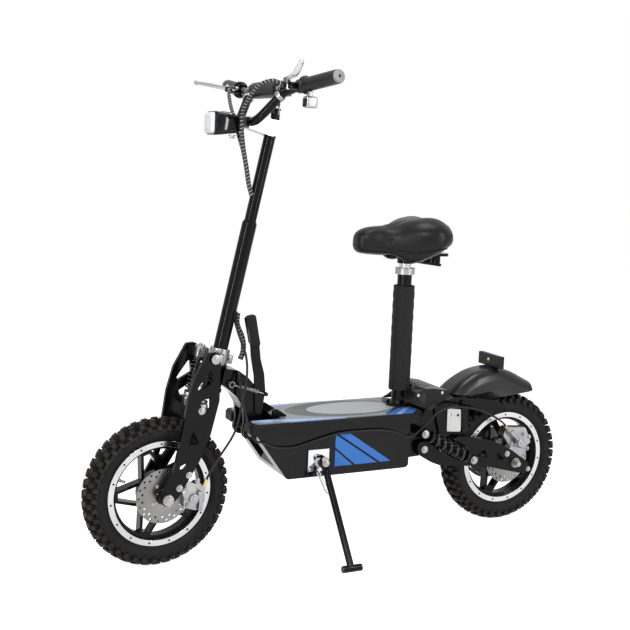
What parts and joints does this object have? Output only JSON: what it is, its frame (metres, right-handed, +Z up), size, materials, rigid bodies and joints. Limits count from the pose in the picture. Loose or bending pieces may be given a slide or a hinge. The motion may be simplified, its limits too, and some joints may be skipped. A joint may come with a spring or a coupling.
{
  "type": "electric scooter",
  "caption": "Seated folding electric scooter with knobby tyres, window-cut fork, battery box under the deck and side stand, parked leaning.",
  "frame": {"origin": "on the floor, under the middle of the parked scooter's overall box", "axes": "+X forward along the wheels, +Y to the rider's left, +Z up against gravity; the scooter leans 5.25 degrees to its left on its side stand"},
  "size_m": [1.4304, 0.5967, 1.2669],
  "materials": {
    "black_paint": "satin black powder coat",
    "box_black": "semi-gloss black with a blue slanted patch on the side",
    "cable": "black cable sheath",
    "cast_silver": "cast aluminium",
    "chain": "oiled steel chain",
    "chrome": "bright plated steel",
    "gloss_black": "gloss black",
    "grey_paint": "grey paint",
    "lens": "frosted clear lens",
    "plastic": "matte black plastic",
    "plate_silver": "brushed steel plate",
    "polished": "polished aluminium",
    "rim_silver": "machined aluminium",
    "rubber": "matte moulded rubber",
    "sheet_grey": "satin grey foot sheet with blue corner patches",
    "spring_black": "gloss black spring",
    "sprocket_grey": "pale blue-grey paint",
    "steel": "zinc plated steel",
    "tyre": "knobby tyre rubber",
    "vinyl": "black vinyl, grained"
  },
  "bodies": {
    "frame": {"deck_board": "rubber", "deck_sheet": "sheet_grey", "battery_box": "box_black", "hinge_bracket": "black_paint", "hinge_pin": "steel", "seat_tube": "black_paint", "post_sleeve": "rubber", "seat_collar": "polished", "swing_arm": "black_paint", "rear_shocks": "spring_black", "rear_bracket": "black_paint", "motor_plate": "plate_silver", "motor": "black_paint", "drive_chain": "chain", "rear_fender": "plastic", "rear_cover": "plastic", "tail_light": "plastic", "rear_axle": "steel", "rear_caliper": "cast_silver", "stand_bracket": "chrome"},
    "side_stand": {"side_stand": "black_paint"},
    "neck": {"neck_yoke": "black_paint", "latch_lever": "black_paint", "latch_spring": "chrome"},
    "steering": {"stem": "black_paint", "gooseneck": "polished", "bar_clamp": "grey_paint", "handlebar": "black_paint", "bar_pad": "vinyl", "left_grip": "rubber", "right_grip": "rubber", "left_lever": "polished", "right_lever": "polished", "switch_box": "plastic", "headlight": "gloss_black", "headlight_lens": "lens", "ignition_lock": "plastic", "fork_crown": "polished", "fork_left": "black_paint", "fork_right": "black_paint", "fork_springs": "spring_black", "front_axle": "steel", "front_caliper": "cast_silver", "front_brake_cable": "cable", "bar_loom": "cable", "neck_loom": "cable"},
    "front_wheel": {"front_tyre": "tyre", "front_rim": "rim_silver", "front_spokes": "black_paint", "front_disc": "steel"},
    "rear_wheel": {"rear_tyre": "tyre", "rear_rim": "rim_silver", "rear_spokes": "black_paint", "rear_disc": "steel", "rear_sprocket": "sprocket_grey"},
    "seat": {"seat_post": "chrome", "saddle_frame": "black_paint", "saddle": "vinyl"}
  },
  "joints": [
    {"name": "fold", "type": "hinge", "parent": "frame", "child": "neck", "pos_m": [0.2875, -0.08251, 0.33199], "axis": [0, -0.9958, 0.0915], "range_deg": [0, 22], "deforming": ["front_brake_cable", "neck_loom"]},
    {"name": "steer", "type": "hinge", "parent": "neck", "child": "steering", "pos_m": [0.371, -0.06723, 0.49829], "axis": [-0.2127, 0.0894, 0.973], "range_deg": [-40, 32], "deforming": ["front_brake_cable", "neck_loom"]},
    {"name": "front_spin", "type": "hinge", "parent": "steering", "child": "front_wheel", "pos_m": [0.52423, -0.08872, 0.1899], "axis": [-0.079, 0.991, -0.1083], "continuous": true},
    {"name": "rear_spin", "type": "hinge", "parent": "frame", "child": "rear_wheel", "pos_m": [-0.5245, -0.0955, 0.19059], "axis": [0, 0.9958, -0.0915], "continuous": true},
    {"name": "stand_fold", "type": "hinge", "parent": "frame", "child": "side_stand", "pos_m": [0.1085, 0.02207, 0.24606], "axis": [0, 0.8387, 0.5447], "range_deg": [0, 85]},
    {"name": "seat_height", "type": "slide", "parent": "frame", "child": "seat", "axis": [0, 0.0915, 0.9958], "range_m": [0, 0.1]}
  ]
}
